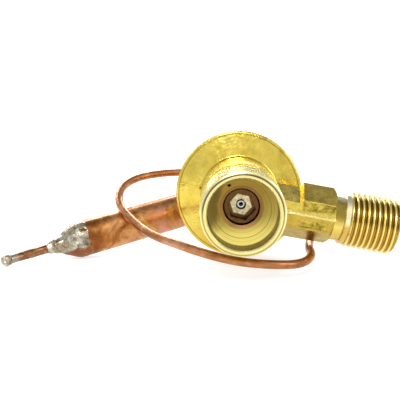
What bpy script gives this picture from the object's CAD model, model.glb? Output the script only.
"""Looks of the angle-type expansion valve: threads, materials, light and camera round the CAD frame."""
import math

import bmesh
import bpy
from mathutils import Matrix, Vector, noise


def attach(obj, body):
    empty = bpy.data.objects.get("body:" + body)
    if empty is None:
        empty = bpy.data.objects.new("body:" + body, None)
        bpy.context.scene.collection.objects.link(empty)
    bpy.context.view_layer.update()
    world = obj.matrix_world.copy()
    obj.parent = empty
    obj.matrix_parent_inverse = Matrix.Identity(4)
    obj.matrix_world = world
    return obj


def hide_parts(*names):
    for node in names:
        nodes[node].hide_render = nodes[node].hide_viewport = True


MM = 0.001
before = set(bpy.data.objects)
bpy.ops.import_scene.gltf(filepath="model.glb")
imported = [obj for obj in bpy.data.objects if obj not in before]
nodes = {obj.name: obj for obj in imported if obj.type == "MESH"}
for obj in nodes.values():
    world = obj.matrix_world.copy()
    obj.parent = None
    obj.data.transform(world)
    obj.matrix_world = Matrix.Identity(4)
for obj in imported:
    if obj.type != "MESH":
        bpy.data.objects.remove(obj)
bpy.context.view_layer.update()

# ---------------------------------------------------------------- camera
FOCAL_PX = 681.6
IMAGE_PX = 400
SENSOR = 36.0
camera_data = bpy.data.cameras.new("photo_camera")
camera_data.sensor_width = SENSOR
camera_data.lens = FOCAL_PX / IMAGE_PX * SENSOR
camera = bpy.data.objects.new("photo_camera", camera_data)
bpy.context.scene.collection.objects.link(camera)
camera.location = (-6.73 * MM, -166.65 * MM, 29.65 * MM)
camera.rotation_euler = (math.radians(90 - 8.80), 0, math.radians(1.39))
bpy.context.scene.camera = camera
bpy.context.scene.view_settings.view_transform = "Standard"

# ---------------------------------------------------------------- places, as in the CAD source
DROOP = math.radians(10.2)
ARM = Vector((math.cos(DROOP), 0, -math.sin(DROOP)))
ARM_UP = Vector((math.sin(DROOP), 0, math.cos(DROOP)))
ARM_ORIGIN = Vector((0, 26.0 * MM, 0))
FLOOR_Z = -18.9 * MM
BULB_START = Vector((-48.0, 32.8, -13.45)) * MM
BULB_ALONG = Vector((0.870, 0.441, 0.189)).normalized()
BULB_TAPER = 4.2 * MM
BULB_NECK = 1.6 * MM
BULB_LENGTH = 40.0 * MM
BULB_END = BULB_LENGTH + BULB_TAPER + BULB_NECK
CAPILLARY_R = 1.2 * MM
CHARGE_TUBE_R = 1.35 * MM
BEAD_R = 1.74 * MM
CHARGE_TUBE_END = Vector((-66.4, 21.5, -17.1)) * MM
SOCKET_TURN = -13.3
CAPILLARY_ROUTE_MM = [
    (0.0, 45.6, 0.0), (0.0, 55.0, 0.0), (-7.0, 60.5, 2.4), (-16.0, 60.5, 4.0), (-25.3, 57.5, 3.9),
    (-33.2, 53.0, 2.8), (-37.2, 47.0, 0.3), (-36.9, 39.5, -3.6), (-32.3, 32.0, -6.8),
    (-26.1, 23.0, -9.4), (-18.7, 15.0, -10.3), (-11.0, 10.0, -11.8), (-1.7, 7.0, -13.5),
    (8.0, 8.0, -14.6), (16.2, 12.0, -15.4), (20.1, 18.5, -14.6), (19.8, 26.0, -13.8),
    (21.6, 34.0, -12.5), (22.2, 42.0, -10.6), (18.5, 50.0, -8.2), (11.0, 55.6, -6.6),
    (2.5, 56.8, -5.6),
]


def bulb_point(distance):
    return BULB_START + BULB_ALONG * distance


# ---------------------------------------------------------------- small mesh helpers
def new_piece(name, data, body, material, stands_for=()):
    """Object from mesh or curve data that rides a body and may stand for CAD nodes."""
    piece = bpy.data.objects.new(name, data)
    bpy.context.scene.collection.objects.link(piece)
    data.materials.append(material)
    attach(piece, body)
    if stands_for:
        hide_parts(*stands_for)
    return piece


def grid_mesh(name, rows, closed=True):
    """Mesh through rows of points; closed joins each row's last point to its first."""
    bm = bmesh.new()
    made = [[bm.verts.new(point) for point in row] for row in rows]
    width = len(rows[0])
    for before, after in zip(made, made[1:]):
        for i in range(width if closed else width - 1):
            j = (i + 1) % width
            bm.faces.new((before[i], before[j], after[j], after[i]))
    bmesh.ops.remove_doubles(bm, verts=bm.verts, dist=1e-7)
    bmesh.ops.dissolve_degenerate(bm, edges=bm.edges, dist=1e-8)
    bmesh.ops.recalc_face_normals(bm, faces=bm.faces)
    for face in bm.faces:
        face.smooth = True
    mesh_data = bpy.data.meshes.new(name)
    bm.to_mesh(mesh_data)
    bm.free()
    return mesh_data


def smoothstep(value):
    value = min(1.0, max(0.0, value))
    return value * value * (3 - 2 * value)


# ---------------------------------------------------------------- shader helpers
class Shader:
    """A node material with short calls for the nodes that the materials below share."""

    def __init__(self, name, roughness=0.3, metallic=1.0):
        self.material = bpy.data.materials.new(name)
        self.material.use_nodes = True
        self.tree = self.material.node_tree
        self.bsdf = self.tree.nodes["Principled BSDF"]
        self.bsdf.inputs["Metallic"].default_value = metallic
        self.bsdf.inputs["Roughness"].default_value = roughness
        self.place = self.tree.nodes.new("ShaderNodeTexCoord").outputs["Object"]

    def node(self, kind, **settings):
        made = self.tree.nodes.new("ShaderNode" + kind)
        for key, value in settings.items():
            setattr(made, key, value)
        return made

    def link(self, value, socket):
        if isinstance(value, bpy.types.NodeSocket):
            self.tree.links.new(value, socket)
        else:
            socket.default_value = value

    def noise(self, scale, detail=4.0, roughness=0.55, distortion=0.0, place=None):
        made = self.node("TexNoise")
        self.tree.links.new(place or self.place, made.inputs["Vector"])
        for key, value in (("Scale", scale), ("Detail", detail), ("Roughness", roughness),
                           ("Distortion", distortion)):
            made.inputs[key].default_value = value
        return made.outputs["Fac"]

    def squeeze(self, x, y, z):
        """The place coordinates stretched along each axis, for streaks."""
        made = self.node("Mapping")
        self.tree.links.new(self.place, made.inputs["Vector"])
        made.inputs["Scale"].default_value = (x, y, z)
        return made.outputs["Vector"]

    def rings(self, direction, scale, distortion=0.0):
        made = self.node("TexWave", wave_type="RINGS", rings_direction=direction)
        self.tree.links.new(self.place, made.inputs["Vector"])
        made.inputs["Scale"].default_value = scale
        made.inputs["Distortion"].default_value = distortion
        made.inputs["Detail"].default_value = 2.0
        return made.outputs["Fac"]

    def distance_along(self, start, direction):
        shift = self.node("VectorMath", operation="SUBTRACT")
        self.tree.links.new(self.place, shift.inputs[0])
        shift.inputs[1].default_value = start
        dot = self.node("VectorMath", operation="DOT_PRODUCT")
        self.tree.links.new(shift.outputs["Vector"], dot.inputs[0])
        dot.inputs[1].default_value = direction
        return dot.outputs["Value"]

    def distance_from(self, start, direction):
        """Distance from the axis that passes through start."""
        shift = self.node("VectorMath", operation="SUBTRACT")
        self.tree.links.new(self.place, shift.inputs[0])
        shift.inputs[1].default_value = start
        cross = self.node("VectorMath", operation="CROSS_PRODUCT")
        self.tree.links.new(shift.outputs["Vector"], cross.inputs[0])
        cross.inputs[1].default_value = direction
        length = self.node("VectorMath", operation="LENGTH")
        self.tree.links.new(cross.outputs["Vector"], length.inputs[0])
        return length.outputs["Value"]

    def spread(self, value, low, high, to_low=0.0, to_high=1.0):
        made = self.node("MapRange")
        self.tree.links.new(value, made.inputs["Value"])
        for key, number in (("From Min", low), ("From Max", high), ("To Min", to_low),
                            ("To Max", to_high)):
            made.inputs[key].default_value = number
        return made.outputs["Result"]

    def math(self, operation, a, b):
        made = self.node("Math", operation=operation)
        self.link(a, made.inputs[0])
        self.link(b, made.inputs[1])
        return made.outputs["Value"]

    def ramp(self, value, stops):
        made = self.node("ValToRGB")
        self.tree.links.new(value, made.inputs["Fac"])
        elements = made.color_ramp.elements
        while len(elements) < len(stops):
            elements.new(0.5)
        for element, (position, colour) in zip(elements, stops):
            element.position = position
            element.color = (*colour, 1.0)
        return made.outputs["Color"]

    def mix(self, factor, a, b):
        made = self.node("Mix", data_type="RGBA")
        self.link(factor, made.inputs["Factor"])
        self.link((*a, 1.0) if isinstance(a, tuple) else a, made.inputs["A"])
        self.link((*b, 1.0) if isinstance(b, tuple) else b, made.inputs["B"])
        return made.outputs["Result"]

    def bump(self, height, distance, strength=1.0, normal=None):
        made = self.node("Bump")
        self.tree.links.new(height, made.inputs["Height"])
        made.inputs["Distance"].default_value = distance
        made.inputs["Strength"].default_value = strength
        if normal is not None:
            self.tree.links.new(normal, made.inputs["Normal"])
        return made.outputs["Normal"]

    def finish(self, colour, roughness=None, normal=None):
        self.tree.links.new(colour, self.bsdf.inputs["Base Color"])
        if roughness is not None:
            self.tree.links.new(roughness, self.bsdf.inputs["Roughness"])
        if normal is not None:
            self.tree.links.new(normal, self.bsdf.inputs["Normal"])
        return self.material


# ---------------------------------------------------------------- materials
BRASS_BRIGHT = (0.76, 0.60, 0.12)
BRASS_GOLD = (0.68, 0.50, 0.07)
BRASS_OLIVE = (0.36, 0.29, 0.055)
BRASS_STAIN = (0.32, 0.20, 0.04)
COPPER_PINK = (0.66, 0.36, 0.24)
COPPER_ORANGE = (0.46, 0.19, 0.07)
COPPER_BROWN = (0.22, 0.08, 0.03)


def turned_brass_material(name, colour_a, colour_b, roughness=(0.16, 0.30), stains=0.5,
                          ring_scale=900, waviness=0.10, metallic=1.0):
    """Turned brass: fine tool rings, a slow colour drift and stains that gather towards the top."""
    s = Shader(name, metallic=metallic)
    colour = s.mix(s.spread(s.noise(110, 4), 0.35, 0.65), colour_a, colour_b)
    upper = s.spread(s.distance_along((0, 0, 0), (0, 0, 1)), -4 * MM, 16 * MM, 0.25, 1.0)
    cloud = s.math("MULTIPLY", s.spread(s.noise(170, 6, 0.65, 0.9), 0.44, 0.68), upper)
    speck = s.math("MULTIPLY", s.spread(s.noise(620, 6, 0.7, 0.6), 0.56, 0.68), upper)
    stain = s.math("MAXIMUM", cloud, speck)
    colour = s.mix(s.math("MULTIPLY", stain, stains), colour, BRASS_STAIN)
    rough = s.spread(s.noise(600, 5), 0.3, 0.7, *roughness)
    rough = s.math("ADD", rough, s.math("MULTIPLY", stain, 0.2 * stains))
    normal = s.bump(s.rings("Y", ring_scale, 0.4), 0.003 * MM)
    normal = s.bump(s.noise(150, 2), waviness * MM, 0.6, normal)
    return s.finish(colour, rough, normal)


def flange_brass_material():
    """Body brass: tool rings on the flange, stains, and a dark line just inside its bright rim."""
    s = Shader("turned_brass")
    colour = s.mix(s.spread(s.noise(110, 4), 0.35, 0.65), BRASS_BRIGHT, BRASS_GOLD)
    height = s.distance_along((0, 0, 0), (0, 0, 1))
    upper = s.spread(height, -6 * MM, 16 * MM, 0.15, 1.0)
    cloud = s.spread(s.noise(150, 7, 0.66, 1.2), 0.44, 0.66)
    speck = s.spread(s.noise(560, 7, 0.72, 0.8), 0.54, 0.66)
    stain = s.math("MULTIPLY", s.math("MAXIMUM", cloud, speck), upper)
    colour = s.mix(s.math("MULTIPLY", stain, 0.9), colour, BRASS_OLIVE)
    brown = s.math("MULTIPLY", s.spread(s.noise(90, 5, 0.7, 1.5), 0.56, 0.70), upper)
    colour = s.mix(s.math("MULTIPLY", brown, 0.45), colour, BRASS_STAIN)
    orange = s.spread(height, -16 * MM, -2 * MM, 0.55, 0.0)
    colour = s.mix(s.math("MULTIPLY", orange, s.noise(70, 3)), colour, (0.72, 0.44, 0.06))
    radius = s.distance_from((0, 0, 0), (0, 1, 0))
    line = s.math("MULTIPLY", s.spread(radius, 17.85 * MM, 17.98 * MM),
                  s.spread(radius, 18.10 * MM, 18.25 * MM, 1.0, 0.0))
    colour = s.mix(s.math("MULTIPLY", line, 0.6), colour, (0.20, 0.13, 0.03))
    rough = s.spread(s.noise(600, 5), 0.3, 0.7, 0.16, 0.30)
    rough = s.math("ADD", rough, s.math("MULTIPLY", stain, 0.12))
    normal = s.bump(s.rings("Y", 900, 0.4), 0.003 * MM)
    normal = s.bump(s.noise(130, 3, 0.6, 0.8), 0.45 * MM, 0.7, normal)
    normal = s.bump(line, 0.12 * MM, 0.8, normal)
    return s.finish(colour, rough, normal)


def funnel_material():
    """Satin bore of the outlet: bright below, browner above, with fine steps from the tool."""
    s = Shader("funnel_brass", metallic=0.30)
    height = s.distance_along((0, 0, 0), (0, 0, 1))
    height = s.math("ADD", height, s.spread(s.noise(160, 4), 0.3, 0.7, -1.5 * MM, 1.5 * MM))
    colour = s.mix(s.spread(height, -3.5 * MM, 5.0 * MM), (1.0, 0.88, 0.24), (0.78, 0.56, 0.12))
    side = s.distance_along((0, 0, 0), (1, 0, 0))
    side = s.math("ADD", side, s.spread(s.noise(200, 4), 0.3, 0.7, -1.2 * MM, 1.2 * MM))
    shade = s.math("MULTIPLY", s.spread(side, -6.6 * MM, -4.6 * MM, 1.0, 0.0),
                   s.spread(height, -6.0 * MM, -3.0 * MM))
    colour = s.mix(s.math("MULTIPLY", shade, 0.8), colour, (0.24, 0.15, 0.04))
    depth = s.distance_along((0, 0, 0), (0, 1, 0))
    for line_depth, width, amount in ((9.3, 0.16, 0.75), (7.9, 0.10, 0.35), (11.0, 0.10, 0.30)):
        away = s.math("ABSOLUTE", s.math("SUBTRACT", depth, line_depth * MM), 0.0)
        line = s.spread(away, 0.3 * width * MM, width * MM, 1.0, 0.0)
        colour = s.mix(s.math("MULTIPLY", line, amount), colour, (0.22, 0.13, 0.03))
    rough = s.spread(s.noise(700, 4), 0.3, 0.7, 0.30, 0.42)
    return s.finish(colour, rough, s.bump(s.rings("Y", 1400, 0.3), 0.003 * MM))


def screw_material():
    """Adjusting screw: dark oily skin, and a bright hexagonal floor that the key has polished."""
    s = Shader("adjusting_screw_brass")
    reach = None
    for k in range(3):
        angle = math.radians(SOCKET_TURN + 30 + 60 * k)
        across = s.distance_along((0, 0, 0), (math.cos(angle), 0, math.sin(angle)))
        size = s.math("ABSOLUTE", across, 0.0)
        reach = size if reach is None else s.math("MAXIMUM", reach, size)
    inside = s.spread(reach, 2.55 * MM, 2.75 * MM, 1.0, 0.0)
    deep = s.spread(s.distance_along((0, 0, 0), (0, 1, 0)), 17.30 * MM, 17.38 * MM)
    floor_mask = s.math("MULTIPLY", inside, deep)
    dark = s.mix(s.noise(900, 4), (0.06, 0.03, 0.01), (0.16, 0.08, 0.025))
    bright = s.mix(s.spread(s.noise(1300, 4), 0.35, 0.65), (0.72, 0.65, 0.42), (0.40, 0.32, 0.16))
    rough = s.spread(s.noise(800, 3), 0.3, 0.7, 0.22, 0.42)
    normal = s.bump(s.noise(700, 4), 0.03 * MM, 0.7)
    return s.finish(s.mix(floor_mask, dark, bright), rough, normal)


def forged_brass_material():
    s = Shader("forged_brass_skin")
    scale_patches = s.spread(s.noise(320, 6, 0.62, 0.8), 0.42, 0.62, 0.0, 0.8)
    colour = s.mix(scale_patches, (0.62, 0.47, 0.085), (0.40, 0.29, 0.05))
    below = s.spread(s.distance_along(ARM_ORIGIN, ARM_UP), -1.2 * MM, 0.6 * MM, 1.0, 0.0)
    colour = s.mix(s.math("MULTIPLY", below, 0.6), colour, (0.42, 0.27, 0.035))
    pits = s.spread(s.noise(1500, 6, 0.7), 0.54, 0.64)
    colour = s.mix(s.math("MULTIPLY", pits, 0.5), colour, (0.20, 0.15, 0.03))
    rough = s.spread(s.noise(900, 5), 0.3, 0.7, 0.24, 0.40)
    normal = s.bump(s.noise(1500, 5, 0.6), 0.07 * MM, 0.8)
    normal = s.bump(s.noise(300, 3, 0.6), 0.25 * MM, 0.8, normal)
    return s.finish(colour, rough, normal)


def thread_brass_material(name, colour, low_gap, high_gap, axis_point, axis, up, root, crest,
                          mottling=0.15):
    """Brass thread: polished crests, and roots that hold more dark grime on the upper half."""
    s = Shader(name)
    height = s.spread(s.distance_from(axis_point, axis), root, crest)
    height = s.math("ADD", height, s.spread(s.noise(600, 4), 0.3, 0.7, -mottling, mottling))
    upper = s.distance_along(axis_point, up)
    upper = s.math("ADD", upper, s.spread(s.noise(420, 3), 0.3, 0.7, -0.8 * MM, 0.8 * MM))
    gap = s.mix(s.spread(upper, -0.6 * MM, 1.2 * MM), low_gap, high_gap)
    mixed = s.mix(s.spread(height, 0.20, 0.60), gap, colour)
    rough = s.spread(height, 0.0, 1.0, 0.38, 0.20)
    normal = s.bump(s.noise(500, 1), 0.01 * MM, 0.3)
    return s.finish(mixed, rough, normal)


def collar_material():
    """Polished collar that the inlet thread starts from."""
    s = Shader("collar_brass")
    upper = s.distance_along(ARM_ORIGIN, ARM_UP)
    pale = s.mix(s.noise(500, 4), (0.94, 0.88, 0.62), (0.86, 0.76, 0.42))
    colour = s.mix(s.spread(upper, -1.5 * MM, 0.8 * MM), (0.62, 0.42, 0.09), pale)
    rough = s.spread(s.noise(700, 3), 0.3, 0.7, 0.20, 0.30)
    return s.finish(colour, rough, s.bump(s.noise(900, 3), 0.01 * MM, 0.5))


def rough_forging_material():
    """Untouched forging skin: dark scale in the pits and rubbed bright on the high spots."""
    s = Shader("rough_forging")
    grain = s.noise(620, 7, 0.72, 0.8, s.squeeze(0.5, 1.0, 1.0))
    colour = s.ramp(grain, [
        (0.36, (0.12, 0.08, 0.012)), (0.47, (0.34, 0.25, 0.035)), (0.58, (0.56, 0.43, 0.075)),
        (0.70, (0.86, 0.74, 0.30))])
    rough = s.spread(s.noise(1300, 4), 0.3, 0.7, 0.22, 0.42)
    normal = s.bump(grain, 0.16 * MM, 0.9)
    return s.finish(colour, rough, normal)


def seam_material():
    """Rubbed flash line: bright on its crest, with a dark line along its lower foot."""
    s = Shader("seam_brass")
    across = s.distance_along(ARM_ORIGIN, ARM_UP)
    foot = s.spread(s.math("ABSOLUTE", s.math("ADD", across, 0.62 * MM), 0.0), 0.10 * MM,
                    0.24 * MM, 1.0, 0.0)
    colour = s.mix(s.noise(700, 4), (0.92, 0.80, 0.34), (0.62, 0.47, 0.10))
    colour = s.mix(s.math("MULTIPLY", foot, 0.8), colour, (0.12, 0.07, 0.015))
    rough = s.spread(s.noise(900, 4), 0.3, 0.7, 0.20, 0.36)
    return s.finish(colour, rough, s.bump(s.noise(1200, 4), 0.05 * MM, 0.7))


def neck_material():
    """Turned neck behind the inlet thread: gold below, olive-brown above and a bright top line."""
    s = Shader("neck_brass")
    up = s.distance_along(ARM_ORIGIN, ARM_UP)
    up = s.math("ADD", up, s.spread(s.noise(420, 4), 0.3, 0.7, -0.5 * MM, 0.5 * MM))
    colour = s.ramp(s.spread(up, -6.6 * MM, 6.6 * MM), [
        (0.00, (0.50, 0.35, 0.07)), (0.36, (0.80, 0.62, 0.15)), (0.52, (0.40, 0.29, 0.055)),
        (0.72, (0.26, 0.19, 0.035)), (0.86, (0.34, 0.26, 0.06)), (0.95, (0.95, 0.88, 0.56))])
    rough = s.spread(s.noise(700, 4), 0.3, 0.7, 0.18, 0.32)
    return s.finish(colour, rough, s.bump(s.noise(260, 3), 0.15 * MM, 0.6))


def hollow_steel_material():
    """Steel stem of the ball carrier, with nothing but shade in its bore."""
    s = Shader("carrier_steel")
    colour = s.mix(s.noise(900, 4), (0.62, 0.59, 0.52), (0.40, 0.38, 0.33))
    inside = s.spread(s.distance_from((0, 0, 0), (0, 1, 0)), 0.60 * MM, 0.66 * MM, 1.0, 0.0)
    colour = s.mix(inside, colour, (0.012, 0.010, 0.008))
    rough = s.spread(s.noise(1500, 4), 0.3, 0.7, 0.20, 0.34)
    return s.finish(colour, rough, s.bump(s.noise(1200, 3), 0.01 * MM, 0.5))


def copper_material(name, pink, orange, brown, roughness=(0.22, 0.42)):
    s = Shader(name)
    patches = s.noise(120, 5, 0.6, 0.6)
    colour = s.ramp(patches, [(0.30, pink), (0.50, orange), (0.72, brown)])
    streaks = s.spread(s.noise(700, 5, 0.6, place=s.squeeze(0.25, 0.5, 1.0)), 0.45, 0.70)
    colour = s.mix(s.math("MULTIPLY", streaks, 0.35), colour, brown)
    rough = s.spread(s.noise(800, 4), 0.3, 0.7, *roughness)
    normal = s.bump(s.noise(1100, 4), 0.02 * MM, 0.5)
    normal = s.bump(s.noise(200, 2), 0.12 * MM, 0.4, normal)
    return s.finish(colour, rough, normal)


def bulb_copper_material():
    """Copper that the torch tinted: brown and gold by the solder, pinker towards the far end."""
    s = Shader("bulb_copper")
    along = s.spread(s.distance_along(BULB_START, BULB_ALONG), 0.0, BULB_LENGTH)
    tint = s.math("ADD", along, s.spread(s.noise(130, 4, 0.6, 0.8), 0.25, 0.75, -0.45, 0.45))
    colour = s.ramp(tint, [
        (0.00, (0.24, 0.08, 0.02)), (0.22, (0.38, 0.14, 0.035)), (0.42, (0.64, 0.32, 0.12)),
        (0.60, (0.44, 0.18, 0.06)), (0.80, (0.52, 0.22, 0.12)), (1.0, (0.58, 0.27, 0.19))])
    gold = s.spread(s.noise(300, 5, 0.6, 1.5), 0.56, 0.70)
    colour = s.mix(s.math("MULTIPLY", gold, 0.5), colour, (0.70, 0.38, 0.10))
    dark = s.spread(s.noise(420, 6, 0.65, 0.5), 0.58, 0.72)
    colour = s.mix(s.math("MULTIPLY", dark, 0.55), colour, (0.18, 0.05, 0.02))
    rough = s.spread(s.noise(500, 4), 0.3, 0.7, 0.24, 0.42)
    normal = s.bump(s.noise(900, 4), 0.02 * MM, 0.6)
    normal = s.bump(s.noise(150, 2), 0.2 * MM, 0.4, normal)
    return s.finish(colour, rough, normal)


def solder_material(name, bare_copper):
    """Dull grey solder, speckled dark and light; it leaves the copper bare low on the shell's end."""
    s = Shader(name)
    blotch = s.noise(560, 7, 0.72, 0.5)
    colour = s.ramp(blotch, [
        (0.34, (0.07, 0.055, 0.035)), (0.46, (0.25, 0.22, 0.16)), (0.56, (0.42, 0.385, 0.31)),
        (0.70, (0.74, 0.72, 0.66))])
    warm = s.spread(s.noise(260, 4), 0.50, 0.65)
    colour = s.mix(s.math("MULTIPLY", warm, 0.35), colour, (0.40, 0.27, 0.13))
    if bare_copper:
        low = s.distance_along(bulb_point(-2.4 * MM), (0.30, 0.0, -0.95))
        bare = s.math("ADD", low, s.spread(s.noise(300, 4), 0.3, 0.7, -0.9 * MM, 0.9 * MM))
        bare = s.spread(bare, 1.9 * MM, 2.5 * MM)
        copper = s.mix(s.noise(300, 4), (0.36, 0.13, 0.05), (0.16, 0.05, 0.02))
        colour = s.mix(bare, colour, copper)
    rough = s.spread(s.noise(900, 4), 0.3, 0.7, 0.24, 0.46)
    normal = s.bump(s.noise(1200, 5, 0.6), 0.14 * MM, 0.9)
    return s.finish(colour, rough, normal)


def charge_copper_material():
    """Brown copper of the charge tube, tinned grey by the solder at both of its ends."""
    s = Shader("charge_copper")
    colour = s.ramp(s.noise(380, 5, 0.65, 0.8), [
        (0.30, (0.42, 0.23, 0.12)), (0.50, (0.26, 0.12, 0.055)), (0.70, (0.11, 0.045, 0.02))])
    away = s.distance_along(CHARGE_TUBE_END, BULB_ALONG)
    away = s.math("ADD", away, s.spread(s.noise(500, 4), 0.3, 0.7, -1.2 * MM, 1.2 * MM))
    grey = s.mix(s.noise(900, 4), (0.46, 0.42, 0.35), (0.16, 0.13, 0.10))
    colour = s.mix(s.spread(away, 2.2 * MM, 4.2 * MM, 1.0, 0.0), colour, grey)
    rough = s.spread(s.noise(800, 4), 0.3, 0.7, 0.26, 0.46)
    return s.finish(colour, rough, s.bump(s.noise(700, 4), 0.06 * MM, 0.7))


def braze_material():
    s = Shader("braze_fillet")
    colour = s.ramp(s.noise(380, 5), [
        (0.30, (0.36, 0.26, 0.10)), (0.55, (0.72, 0.58, 0.26)), (0.75, (0.84, 0.74, 0.44))])
    rough = s.spread(s.noise(900, 4), 0.3, 0.7, 0.25, 0.45)
    return s.finish(colour, rough, s.bump(s.noise(900, 4), 0.06 * MM, 0.7))


def steel_material(name, light, dark):
    s = Shader(name)
    colour = s.mix(s.spread(s.noise(700, 4), 0.35, 0.65), light, dark)
    rough = s.spread(s.noise(1500, 4), 0.3, 0.7, 0.16, 0.32)
    return s.finish(colour, rough, s.bump(s.rings("Y", 2000), 0.004 * MM))


def woven_wire_material():
    """Fine square weave of the strainer: two crossing sets of wires."""
    s = Shader("woven_wire")
    warp = s.node("TexWave", wave_type="BANDS", bands_direction="X")
    weft = s.node("TexWave", wave_type="BANDS", bands_direction="Z")
    for wave in (warp, weft):
        s.tree.links.new(s.place, wave.inputs["Vector"])
        wave.inputs["Scale"].default_value = 800
    weave = s.math("MULTIPLY", warp.outputs["Fac"], weft.outputs["Fac"])
    colour = s.ramp(weave, [(0.05, (0.62, 0.62, 0.60)), (0.5, (0.30, 0.30, 0.29)),
                            (0.9, (0.05, 0.05, 0.05))])
    rough = s.spread(s.noise(900, 3), 0.3, 0.7, 0.30, 0.45)
    return s.finish(colour, rough, s.bump(weave, 0.05 * MM, 0.8))


def rubber_material():
    s = Shader("moulded_rubber", 0.55, 0.0)
    colour = s.mix(s.noise(900, 3), (0.018, 0.018, 0.02), (0.04, 0.04, 0.042))
    rough = s.spread(s.noise(1500, 3), 0.3, 0.7, 0.45, 0.65)
    return s.finish(colour, rough, s.bump(s.noise(2500, 3), 0.01 * MM, 0.5))


def floor_material():
    """Pale translucent sheet lit from below, so that shadows on it stay faint."""
    s = Shader("pale_floor", 0.9, 0.0)
    s.bsdf.inputs["Specular IOR Level"].default_value = 0.1
    s.bsdf.inputs["Emission Color"].default_value = (1.0, 1.0, 1.0, 1.0)
    s.bsdf.inputs["Emission Strength"].default_value = 0.72
    return s.finish(s.mix(s.noise(8, 2), (0.36, 0.36, 0.36), (0.39, 0.39, 0.39)))


turned_brass = flange_brass_material()
pale_brass = turned_brass_material("pale_brass", (0.76, 0.68, 0.30), (0.70, 0.60, 0.22),
                                   (0.20, 0.32), 0.15, waviness=0.03)
bore_brass = turned_brass_material("bore_brass", (0.20, 0.12, 0.035), (0.12, 0.07, 0.02),
                                   (0.22, 0.30), 0.2, waviness=0.02)
funnel_brass = funnel_material()
peach_brass = turned_brass_material("peach_brass", (0.70, 0.44, 0.20), (0.58, 0.34, 0.14),
                                    (0.34, 0.46), 0.2, waviness=0.03, metallic=0.5)
tapped_brass = turned_brass_material("tapped_brass", (0.22, 0.12, 0.04), (0.12, 0.06, 0.02),
                                     (0.24, 0.40), 0.3, 340, 0.05)
neat_brass = turned_brass_material("neat_brass", (0.80, 0.68, 0.30), (0.68, 0.54, 0.20),
                                   stains=0.2)
pressed_brass = turned_brass_material("pressed_brass", (0.80, 0.64, 0.24), (0.70, 0.52, 0.16),
                                      (0.24, 0.40), 0.5)
screw_brass = screw_material()
forged_brass = forged_brass_material()
outlet_thread_brass = thread_brass_material(
    "outlet_thread_brass", (0.84, 0.74, 0.34), (0.42, 0.30, 0.07), (0.16, 0.13, 0.06),
    (0, 0, 0), (0, 1, 0), (0, 0, 1), 10.1 * MM, 11.0 * MM, 0.03)
inlet_thread_brass = thread_brass_material(
    "inlet_thread_brass", (0.86, 0.68, 0.22), (0.44, 0.28, 0.045), (0.17, 0.10, 0.016),
    ARM_ORIGIN, ARM, ARM_UP, 7.1 * MM, 8.0 * MM)
collar_brass = collar_material()
rough_forging = rough_forging_material()
seam_brass = seam_material()
neck_brass = neck_material()
carrier_steel = hollow_steel_material()
capillary_copper = copper_material("capillary_copper", COPPER_PINK, COPPER_ORANGE, COPPER_BROWN)
charge_copper = charge_copper_material()
bulb_copper = bulb_copper_material()
solder = solder_material("rough_solder", True)
bead_solder = solder_material("bead_solder", False)
braze = braze_material()
bright_steel = steel_material("bright_steel", (0.70, 0.70, 0.69), (0.56, 0.56, 0.56))
spring_wire = steel_material("spring_wire", (0.50, 0.51, 0.53), (0.36, 0.37, 0.39))
woven_wire = woven_wire_material()
rubber = rubber_material()

CAD_MATERIALS = {
    "adjusting_screw": screw_brass, "spring_seat": neat_brass, "superheat_spring": spring_wire,
    "valve_ball": bright_steel, "ball_carrier": carrier_steel, "push_rod": bright_steel,
    "thrust_plate": neat_brass, "seat_bush": neat_brass, "rod_guide": neat_brass,
    "rod_o_ring": rubber, "o_ring_retainer": neat_brass, "diaphragm": bright_steel,
    "upper_cover": pressed_brass, "rim_braze": braze, "capillary_boss": neat_brass,
    "boss_braze": braze, "bulb_shell": bulb_copper, "bulb_inlet_solder": braze,
    "strainer_ring": neat_brass, "strainer_screen": woven_wire,
}
for node_name, material in CAD_MATERIALS.items():
    slots = nodes[node_name].data.materials
    slots.clear()
    slots.append(material)

# ---------------------------------------------------------------- body with its threads cut out
PITCH = 1.5 * MM
THREAD_DEPTH = 0.92 * MM
OUTLET_R = 11.0 * MM
OUTLET_END = 15.5 * MM
OUTLET_CHAMFER = 1.0 * MM
RELIEF_R = 10.1 * MM
NECK_R = 6.65 * MM
INLET_R = 8.0 * MM
INLET_START = 30.5 * MM
INLET_END = 44.6 * MM
INLET_CHAMFER = 1.0 * MM
COLLAR_R = 7.35 * MM
COLLAR_START = 29.1 * MM
THREAD_START = 30.6 * MM
HEX_START = 17.0 * MM
HEX_END = 26.5 * MM
BOSS_R = 11.4 * MM
CONE_Y = 34.8 * MM
MOUTH_R = 10.02 * MM
SKIN = 0.02 * MM
SHARP_ANGLE = math.radians(28)
WORN_EDGE = 0.35 * MM
TURNED, FORGED, PALE, BORE, FUNNEL, PEACH, TAPPED, NECK = range(8)
BORE_REGIONS = [(0.35 * MM, PALE), (6.45 * MM, BORE), (12.15 * MM, FUNNEL), (13.05 * MM, PEACH)]


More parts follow.
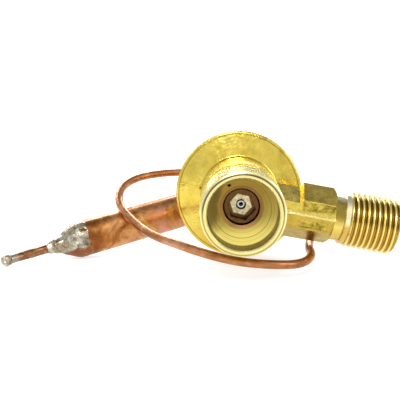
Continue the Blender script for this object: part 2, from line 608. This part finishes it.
def body_mesh():
    """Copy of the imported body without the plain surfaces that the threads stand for."""
    bm = bmesh.new()
    bm.from_mesh(nodes["valve_body"].data)

    def off_main_axis(point):
        return math.hypot(point.x, point.z)

    def along_arm(point):
        return (point - ARM_ORIGIN).dot(ARM)

    def off_arm(point):
        return ((point - ARM_ORIGIN) - ARM * along_arm(point)).length

    doomed = []
    for face in bm.faces:
        points = [vert.co for vert in face.verts]
        on_outlet = all(off_main_axis(p) > OUTLET_R - OUTLET_CHAMFER - SKIN
                        and p.y < OUTLET_END + SKIN for p in points)
        on_inlet = all(along_arm(p) > INLET_START - SKIN and off_arm(p) > NECK_R - SKIN
                       for p in points)
        if on_outlet or on_inlet:
            doomed.append(face)
    bmesh.ops.delete(bm, geom=doomed, context="FACES")

    def on_hexagon(point):
        return HEX_START - SKIN < along_arm(point) < HEX_END + SKIN and off_arm(point) > 6.9 * MM

    worn = [edge for edge in bm.edges if len(edge.link_faces) == 2
            and all(on_hexagon(vert.co) for vert in edge.verts)
            and edge.calc_face_angle(0) > math.radians(25) and edge.calc_length() > 2 * MM]
    bmesh.ops.bevel(bm, geom=worn, offset=WORN_EDGE, segments=3, profile=0.5, affect="EDGES",
                    clamp_overlap=True)
    for face in bm.faces:
        middle = face.calc_center_median()
        radius, depth, arm_distance = off_main_axis(middle), middle.y, along_arm(middle)
        forged = (BOSS_R - SKIN < arm_distance < HEX_END + SKIN and depth < CONE_Y - 1 * MM
                  and radius > BOSS_R + SKIN and off_arm(middle) > 5.2 * MM)
        if forged:
            face.material_index = FORGED
        elif arm_distance > HEX_END and off_arm(middle) > NECK_R - 0.3 * MM:
            face.material_index = NECK
        elif radius > MOUTH_R:
            face.material_index = TURNED
        else:
            face.material_index = next(
                (index for limit, index in BORE_REGIONS if depth < limit), TAPPED)
        face.smooth = True
    mesh_data = bpy.data.meshes.new("valve_body_skin")
    bm.to_mesh(mesh_data)
    bm.free()
    if "custom_normal" in mesh_data.attributes:
        mesh_data.attributes.remove(mesh_data.attributes["custom_normal"])
    mesh_data.set_sharp_from_angle(angle=SHARP_ANGLE)
    return mesh_data


def thread_depth_at(phase):
    """Depth of a rounded 60-degree thread, 0 at the crest and 1 at the root."""
    away = abs((phase % 1.0) - 0.5) * 2
    return smoothstep((0.84 - away) / 0.62)


def thread_mesh(name, origin, axis, side, outline, crest_radius, start, end, turn_points=144,
                pitch_points=14):
    """Helical thread between two distances along an axis, kept under an outline."""
    other = axis.cross(side)
    turns = (end - start) / PITCH
    count = int(math.ceil((turns + 1) * pitch_points))
    rows = []
    for i in range(count + 1):
        row = []
        for j in range(turn_points):
            turn = j / turn_points
            phase = i / pitch_points - 1 + turn
            distance = min(end, max(start, start + phase * PITCH))
            crest = outline(distance)
            radius = min(crest, crest_radius - THREAD_DEPTH * thread_depth_at(i / pitch_points))
            angle = 2 * math.pi * turn
            row.append(origin + axis * distance
                       + (side * math.cos(angle) + other * math.sin(angle)) * radius)
        rows.append(row)
    # The seam column runs one pitch further on, so the last point of a row meets the next turn
    bm = bmesh.new()
    made = [[bm.verts.new(point) for point in row] for row in rows]
    for i in range(count):
        for j in range(turn_points - 1):
            bm.faces.new((made[i][j], made[i][j + 1], made[i + 1][j + 1], made[i + 1][j]))
        if i + 1 + pitch_points <= count:
            bm.faces.new((made[i][turn_points - 1], made[i + pitch_points][0],
                          made[i + 1 + pitch_points][0], made[i + 1][turn_points - 1]))
    bmesh.ops.remove_doubles(bm, verts=bm.verts, dist=1e-7)
    bmesh.ops.dissolve_degenerate(bm, edges=bm.edges, dist=1e-7)
    bmesh.ops.recalc_face_normals(bm, faces=bm.faces)
    for face in bm.faces:
        face.smooth = True
    mesh_data = bpy.data.meshes.new(name)
    bm.to_mesh(mesh_data)
    bm.free()
    return mesh_data


def outlet_outline(distance):
    return min(OUTLET_R, OUTLET_R - OUTLET_CHAMFER + distance,
               RELIEF_R + (OUTLET_END - distance) * 1.6)


def inlet_outline(distance):
    return min(INLET_R, COLLAR_R + 0.8 * (distance - THREAD_START),
               INLET_R - INLET_CHAMFER + (INLET_END - distance))


body = new_piece("valve_body_skin", body_mesh(), "housing", turned_brass,
                 ("valve_body",))
for extra in (forged_brass, pale_brass, bore_brass, funnel_brass, peach_brass, tapped_brass,
              neck_brass):
    body.data.materials.append(extra)
new_piece("outlet_thread_skin",
          thread_mesh("outlet_thread_skin", Vector((0, 0, 0)), Vector((0, 1, 0)),
                      Vector((1, 0, 0)), outlet_outline, OUTLET_R, 0.0, OUTLET_END),
          "housing", outlet_thread_brass)
new_piece("inlet_thread_skin",
          thread_mesh("inlet_thread_skin", ARM_ORIGIN, ARM, ARM_UP, inlet_outline, INLET_R,
                      THREAD_START, INLET_END, 128),
          "housing", inlet_thread_brass)
collar_rows = []
for distance, radius in ((COLLAR_START, NECK_R - SKIN),
                         (COLLAR_START + 0.12 * MM, COLLAR_R - 0.12 * MM),
                         (COLLAR_START + 0.30 * MM, COLLAR_R),
                         (THREAD_START + 0.05 * MM, COLLAR_R)):
    middle = ARM_ORIGIN + ARM * distance
    collar_rows.append([middle + (ARM_UP * math.cos(turn) + ARM.cross(ARM_UP) * math.sin(turn))
                        * radius for turn in (2 * math.pi * k / 128 for k in range(128))])
collar_data = grid_mesh("inlet_collar", collar_rows)
collar_data.set_sharp_from_angle(angle=SHARP_ANGLE)
new_piece("inlet_collar", collar_data, "housing", collar_brass)


# ---------------------------------------------------------------- forging seams and rough pads
def lump(point, scale, amount, offset):
    return amount * noise.noise(point * scale + offset)


def seam_mesh(name, start, end, out, across, width, height, seed):
    """Ragged trimmed flash along a line: a low ridge with a steep lower side."""
    profile = [(-0.62, -0.15), (-0.56, 0.55), (-0.44, 1.0), (-0.10, 0.95), (0.35, 0.60),
               (0.75, 0.25), (1.0, -0.15)]
    steps = int((end - start).length / (0.12 * MM))
    offset = Vector((seed, 2 * seed, 3 * seed))
    rows = []
    for i in range(steps + 1):
        middle = start.lerp(end, i / steps)
        rise = 1 + lump(middle, 900, 0.20, offset) + lump(middle, 2600, 0.12, offset)
        drift = lump(middle, 300, 0.06, offset) * width
        rows.append([middle + across * (share * width / 2 + drift) + out * (level * rise * height)
                     for share, level in profile])
    return grid_mesh(name, rows, closed=False)


def pad_mesh(name, along_range, up_range, face_y, seed):
    """Rough as-forged pad that stands a little proud of a flat of the spanner hexagon."""
    offset = Vector((seed, seed, seed))
    count_along, count_up = 110, 36
    rows = []
    for i in range(count_along + 1):
        t = i / count_along
        row = []
        for j in range(count_up + 1):
            u = j / count_up
            flat = (ARM * (along_range[0] + (along_range[1] - along_range[0]) * t)
                    + ARM_UP * (up_range[0] + (up_range[1] - up_range[0]) * u))
            edge = smoothstep(min(t, 1 - t) * 14) * smoothstep(min(u, 1 - u) * 5)
            rough = 0.5 + lump(flat, 520, 0.7, offset) + lump(flat, 1300, 0.25, offset)
            rise = edge * (0.05 + 0.22 * rough) * MM - 0.03 * MM
            row.append(flat + Vector((0, face_y - rise, 0)))
        rows.append(row)
    return grid_mesh(name, rows, closed=False)


MAIN_AXIS = Vector((0, 1, 0))
HEX_HALF = 7.0 * MM
SEAM_START = BOSS_R - 0.2 * MM
SEAM_WIDTH = 1.5 * MM
SEAM_HEIGHT = 0.50 * MM
for name, facing, seed in (("seam_arm_front", -1, 1.0), ("seam_arm_back", 1, 2.0)):
    base = ARM_ORIGIN + MAIN_AXIS * facing * HEX_HALF
    new_piece(name, seam_mesh(name, base + ARM * SEAM_START, base + ARM * HEX_END,
                              MAIN_AXIS * facing, ARM_UP, SEAM_WIDTH, SEAM_HEIGHT, seed),
              "housing", seam_brass)
cone_out = Vector((-0.233, -0.972, 0))
new_piece("seam_flange", seam_mesh("seam_flange", -ARM * 12.0 * MM + MAIN_AXIS * 35.0 * MM,
                                   -ARM * 18.3 * MM + MAIN_AXIS * 36.45 * MM, cone_out, ARM_UP,
                                   0.9 * MM, 0.40 * MM, 5.0),
          "housing", rough_forging)
PADS = [("pad_upper", (16.8 * MM, 26.2 * MM), (1.0 * MM, 3.9 * MM), 6.0),
        ("pad_lower", (16.8 * MM, 24.6 * MM), (-3.6 * MM, -1.4 * MM), 7.0)]
for name, along_range, up_range, seed in PADS:
    new_piece(name, pad_mesh(name, along_range, up_range, ARM_ORIGIN.y - HEX_HALF, seed),
              "housing", rough_forging)


# ---------------------------------------------------------------- capillary, solder, bead
def capillary_curve():
    data = bpy.data.curves.new("capillary_line", "CURVE")
    data.dimensions = "3D"
    points = [Vector(point) * MM for point in CAPILLARY_ROUTE_MM]
    points += [bulb_point(BULB_END + 6 * MM), bulb_point(BULB_LENGTH + BULB_TAPER / 2)]
    spline = data.splines.new("NURBS")
    spline.points.add(len(points) - 1)
    for control, point in zip(spline.points, points):
        control.co = (*point, 1)
    spline.order_u = 3
    spline.use_endpoint_u = True
    spline.resolution_u = 10
    data.bevel_depth = CAPILLARY_R
    data.bevel_resolution = 6
    return data


new_piece("capillary_line", capillary_curve(), "housing", capillary_copper,
          ("capillary_tube",))


def solder_cone_mesh():
    """Lumpy solder from the charge tube over the drawn-down end onto the shell."""
    side = BULB_ALONG.cross(Vector((0, 0, 1))).normalized()
    up = side.cross(BULB_ALONG)
    outline = [(-9.8, 1.38), (-9.2, 1.62), (-8.0, 1.95), (-6.8, 2.25), (-5.8, 2.60), (-4.8, 3.05),
               (-3.8, 3.68), (-2.6, 4.38), (-1.4, 4.94), (-0.4, 5.32), (0.6, 5.43), (1.6, 5.42),
               (2.4, 5.31)]
    steps_between = 5
    stations = []
    for (x0, r0), (x1, r1) in zip(outline, outline[1:]):
        for k in range(steps_between):
            share = k / steps_between
            stations.append((x0 + (x1 - x0) * share, r0 + (r1 - r0) * share))
    stations.append(outline[-1])
    mesh_rows = []
    for x, radius in stations:
        row = []
        for j in range(96):
            angle = 2 * math.pi * j / 96
            out = side * math.cos(angle) + up * math.sin(angle)
            point = bulb_point(x * MM) + out * radius * MM
            fade = smoothstep((2.4 - x) / 1.2) * smoothstep((x + 9.8) / 0.8)
            push = (lump(point, 420, 0.26, Vector((3, 1, 7)))
                    + lump(point, 1100, 0.12, Vector((9, 4, 2)))) * fade
            ragged = lump(out * 0.01, 260, 0.9, Vector((5, 5, 5))) * smoothstep(x / 1.5)
            bump_up = min(max(push, -0.10), 0.5 if x < -3 else 0.02)
            row.append(bulb_point((x + ragged) * MM) + out * (radius + bump_up) * MM)
        mesh_rows.append(row)
    return grid_mesh("solder_cone", mesh_rows)


new_piece("solder_cone", solder_cone_mesh(), "housing", solder, ("bulb_end_solder",))


def spline_points(route):
    """Points along the smooth NURBS line that has the route as its control points."""
    data = bpy.data.curves.new("route", "CURVE")
    data.dimensions = "3D"
    spline = data.splines.new("NURBS")
    spline.points.add(len(route) - 1)
    for control, point in zip(spline.points, route):
        control.co = (*point, 1)
    spline.order_u = 3
    spline.use_endpoint_u = True
    spline.resolution_u = 14
    holder = bpy.data.objects.new("route", data)
    line = bpy.data.meshes.new_from_object(holder)
    points = [vert.co.copy() for vert in line.vertices]
    bpy.data.objects.remove(holder)
    bpy.data.curves.remove(data)
    bpy.data.meshes.remove(line)
    return points


def charge_tube_mesh():
    """Charge tube with the small dents and swells of soft copper bent by hand."""
    corner = bulb_point(-14.3 * MM)
    line = spline_points([bulb_point(-3.4 * MM), bulb_point(-8.0 * MM), bulb_point(-11.0 * MM),
                          corner, corner.lerp(CHARGE_TUBE_END, 0.5), CHARGE_TUBE_END])
    rows = []
    for k, point in enumerate(line):
        ahead = (line[min(k + 1, len(line) - 1)] - line[max(k - 1, 0)]).normalized()
        side = ahead.cross(Vector((0, 0, 1))).normalized()
        up = side.cross(ahead)
        row = []
        for j in range(40):
            angle = 2 * math.pi * j / 40
            out = side * math.cos(angle) + up * math.sin(angle)
            dent = lump(point + out * 0.4 * MM, 330, 0.16, Vector((4, 7, 1)))
            row.append(point + out * (CHARGE_TUBE_R + min(dent, 0.05) * MM))
        rows.append(row)
    return grid_mesh("charge_tube_line", rows)


new_piece("charge_tube_line", charge_tube_mesh(), "housing", charge_copper,
          ("charge_tube",))


def bead_mesh():
    bm = bmesh.new()
    bmesh.ops.create_icosphere(bm, subdivisions=5, radius=BEAD_R)
    for vert in bm.verts:
        direction = vert.co.normalized()
        push = lump(direction * 0.001, 1400, 0.22, Vector((2, 8, 4)))
        push += lump(direction * 0.001, 3600, 0.10, Vector((6, 1, 3))) - 0.03
        dimple = (direction - Vector((0.05, -0.99, 0.10))).length
        push -= 0.35 * (1 - smoothstep(dimple / 0.42))
        vert.co = CHARGE_TUBE_END + direction * (BEAD_R + min(push, 0.0) * MM)
    for face in bm.faces:
        face.smooth = True
    mesh_data = bpy.data.meshes.new("solder_bead")
    bm.to_mesh(mesh_data)
    bm.free()
    return mesh_data


new_piece("solder_bead", bead_mesh(), "housing", bead_solder, ("tip_bead",))

# ---------------------------------------------------------------- floor and light
FLOOR_RADIUS = 4.0
floor_bm = bmesh.new()
bmesh.ops.create_circle(floor_bm, cap_ends=True, radius=FLOOR_RADIUS, segments=96)
floor_data = bpy.data.meshes.new("floor")
floor_bm.to_mesh(floor_data)
floor_bm.free()
floor_data.materials.append(floor_material())
floor = bpy.data.objects.new("floor", floor_data)
bpy.context.scene.collection.objects.link(floor)
floor.location.z = FLOOR_Z


LIGHT_TARGET = Vector((0.005, 0.02, 0.0))


def softbox(name, place, size, energy):
    data = bpy.data.lights.new(name, "AREA")
    data.shape = "RECTANGLE"
    data.size, data.size_y = size
    data.energy = energy
    light = bpy.data.objects.new(name, data)
    bpy.context.scene.collection.objects.link(light)
    light.location = place
    light.rotation_euler = (LIGHT_TARGET - Vector(place)).to_track_quat("-Z", "Y").to_euler()


softbox("key_softbox", (-0.06, -0.36, 0.44), (0.16, 0.16), 2.2)
softbox("fill_softbox", (0.60, -0.30, 0.30), (0.25, 0.30), 1.0)
softbox("back_softbox", (-0.15, 0.60, 0.36), (0.9, 0.2), 5.0)

# White tent: even for diffuse light, and darker overhead in what shiny metal reflects
DIFFUSE_LEVEL = 1.06
TENT_TOP = Vector((0.0, 0.30, 0.95)).normalized()
TENT_STOPS = [(0.0, 0.95), (0.40, 0.95), (0.66, 0.85), (0.84, 0.50), (1.0, 0.28)]
world = bpy.data.worlds.new("white_tent")
bpy.context.scene.world = world
world.use_nodes = True
tree = world.node_tree
background = tree.nodes["Background"]
direction = tree.nodes.new("ShaderNodeTexCoord").outputs["Generated"]
overhead = tree.nodes.new("ShaderNodeVectorMath")
overhead.operation = "DOT_PRODUCT"
overhead.inputs[1].default_value = TENT_TOP
tree.links.new(direction, overhead.inputs[0])
tent = tree.nodes.new("ShaderNodeValToRGB")
tree.links.new(overhead.outputs["Value"], tent.inputs["Fac"])
while len(tent.color_ramp.elements) < len(TENT_STOPS):
    tent.color_ramp.elements.new(0.5)
for element, (position, level) in zip(tent.color_ramp.elements, TENT_STOPS):
    element.position = position
    element.color = (level, level, level, 1.0)
glossy = tree.nodes.new("ShaderNodeLightPath").outputs["Is Glossy Ray"]
shown = tree.nodes.new("ShaderNodeMix")
shown.data_type = "RGBA"
shown.inputs["A"].default_value = (DIFFUSE_LEVEL, DIFFUSE_LEVEL, DIFFUSE_LEVEL, 1.0)
tree.links.new(glossy, shown.inputs["Factor"])
tree.links.new(tent.outputs["Color"], shown.inputs["B"])
tree.links.new(shown.outputs["Result"], background.inputs["Color"])
background.inputs["Strength"].default_value = 1.0
